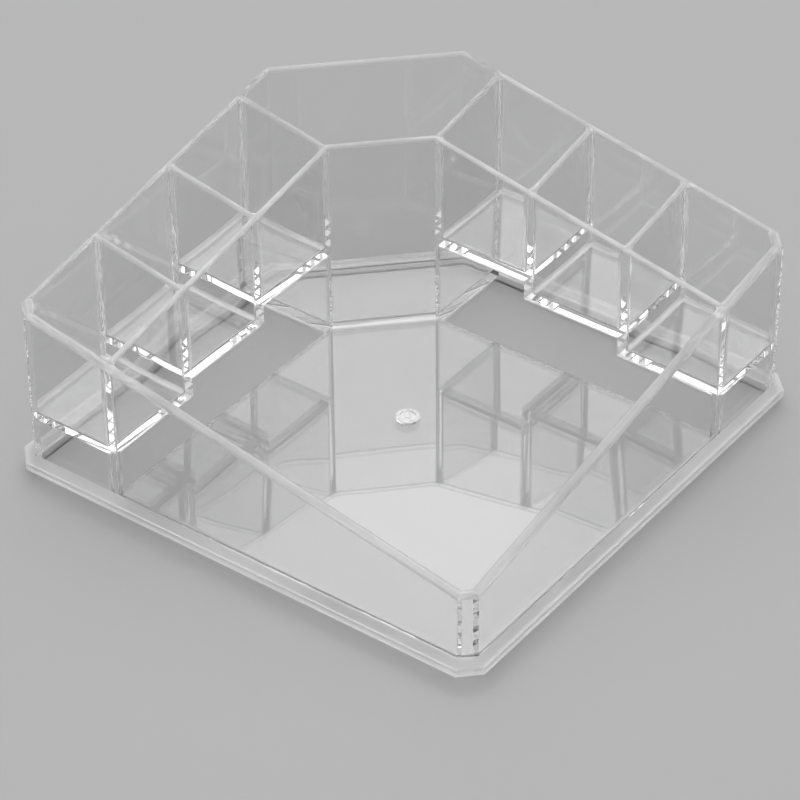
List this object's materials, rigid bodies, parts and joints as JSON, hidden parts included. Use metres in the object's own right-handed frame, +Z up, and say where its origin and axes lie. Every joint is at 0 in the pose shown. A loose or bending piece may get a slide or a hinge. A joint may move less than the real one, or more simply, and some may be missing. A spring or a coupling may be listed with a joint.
{
  "type": "vanity organizer",
  "caption": "Clear plastic corner organizer with an open front tray, stepped cells along the two back sides, a deep back bin and a low foot rim.",
  "frame": {"origin": "middle of the footprint on the table", "axes": "+Z up; the low front corner points to -X -Y and the tall back corner to +X +Y; the left wing lies along +Y and the right wing along +X"},
  "size_m": [0.2074, 0.2074, 0.0989],
  "materials": {
    "clear_polystyrene": "clear, colourless, glossy, injection moulded"
  },
  "bodies": {
    "root": {"back_corner_panel": "clear_polystyrene", "back_inner_wall": "clear_polystyrene", "back_left_wall": "clear_polystyrene", "back_right_wall": "clear_polystyrene", "bin_floor": "clear_polystyrene", "front_corner_panel": "clear_polystyrene", "front_left_wall": "clear_polystyrene", "front_right_wall": "clear_polystyrene", "left_cell_floor_1": "clear_polystyrene", "left_cell_floor_2": "clear_polystyrene", "left_cell_floor_3": "clear_polystyrene", "left_corner_panel": "clear_polystyrene", "left_divider_1": "clear_polystyrene", "left_divider_2": "clear_polystyrene", "left_divider_3": "clear_polystyrene", "left_inner_wall": "clear_polystyrene", "right_cell_floor_1": "clear_polystyrene", "right_cell_floor_2": "clear_polystyrene", "right_cell_floor_3": "clear_polystyrene", "right_corner_panel": "clear_polystyrene", "right_divider_1": "clear_polystyrene", "right_divider_2": "clear_polystyrene", "right_divider_3": "clear_polystyrene", "right_inner_wall": "clear_polystyrene", "rim_back_corner": "clear_polystyrene", "rim_back_left": "clear_polystyrene", "rim_back_right": "clear_polystyrene", "rim_front_corner": "clear_polystyrene", "rim_front_left": "clear_polystyrene", "rim_front_right": "clear_polystyrene", "rim_left_corner": "clear_polystyrene", "rim_right_corner": "clear_polystyrene", "tray_floor": "clear_polystyrene"}
  },
  "joints": []
}
